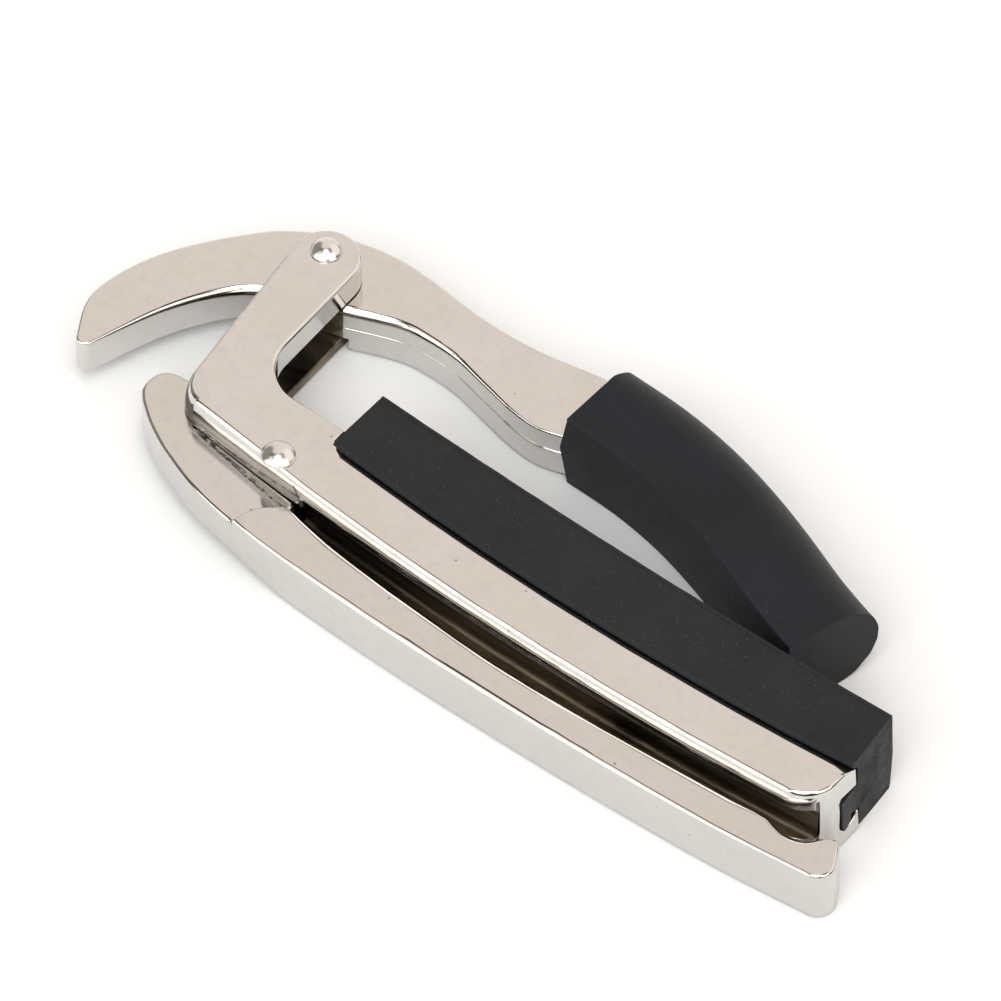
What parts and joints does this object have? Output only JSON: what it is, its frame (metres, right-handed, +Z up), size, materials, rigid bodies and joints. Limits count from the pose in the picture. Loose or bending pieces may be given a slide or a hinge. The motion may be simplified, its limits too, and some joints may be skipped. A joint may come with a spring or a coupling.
{
  "type": "guitar capo",
  "caption": "Lever-locked guitar capo with a riveted fork frame, a swinging neck arm in a rubber sleeve, a cam lever and a rubber fret pad.",
  "frame": {"origin": "on the surface it lies on, under the middle of its bounding box", "axes": "+X along the bar from the fork to its free end, +Y from the bar towards the neck arm, +Z up, through the thickness and along both hinge axes"},
  "size_m": [0.0988, 0.0389, 0.0105],
  "materials": {
    "frame_nickel": "bright nickel plate on a zinc die casting",
    "arm_nickel": "bright nickel plate on a zinc die casting",
    "lever_nickel": "bright nickel plate on a zinc die casting",
    "rivet_steel": "polished steel rivet",
    "pad_rubber": "matte black extruded rubber",
    "sleeve_rubber": "smooth satin black rubber"
  },
  "bodies": {
    "frame": {"frame": "frame_nickel", "fret_pad": "pad_rubber", "arm_rivet": "rivet_steel", "lever_rivet": "rivet_steel"},
    "neck_arm": {"neck_arm": "arm_nickel", "neck_sleeve": "sleeve_rubber"},
    "lever": {"lever": "lever_nickel"}
  },
  "joints": [
    {"name": "arm_hinge", "type": "hinge", "parent": "frame", "child": "neck_arm", "pos_m": [-0.03339, 0.01095, 0.0045], "axis": [0, 0, 1], "range_deg": [0, 18]},
    {"name": "lever_hinge", "type": "hinge", "parent": "frame", "child": "lever", "pos_m": [-0.02129, -0.01125, 0.0045], "axis": [0, 0, -1], "range_deg": [0, 60]}
  ]
}
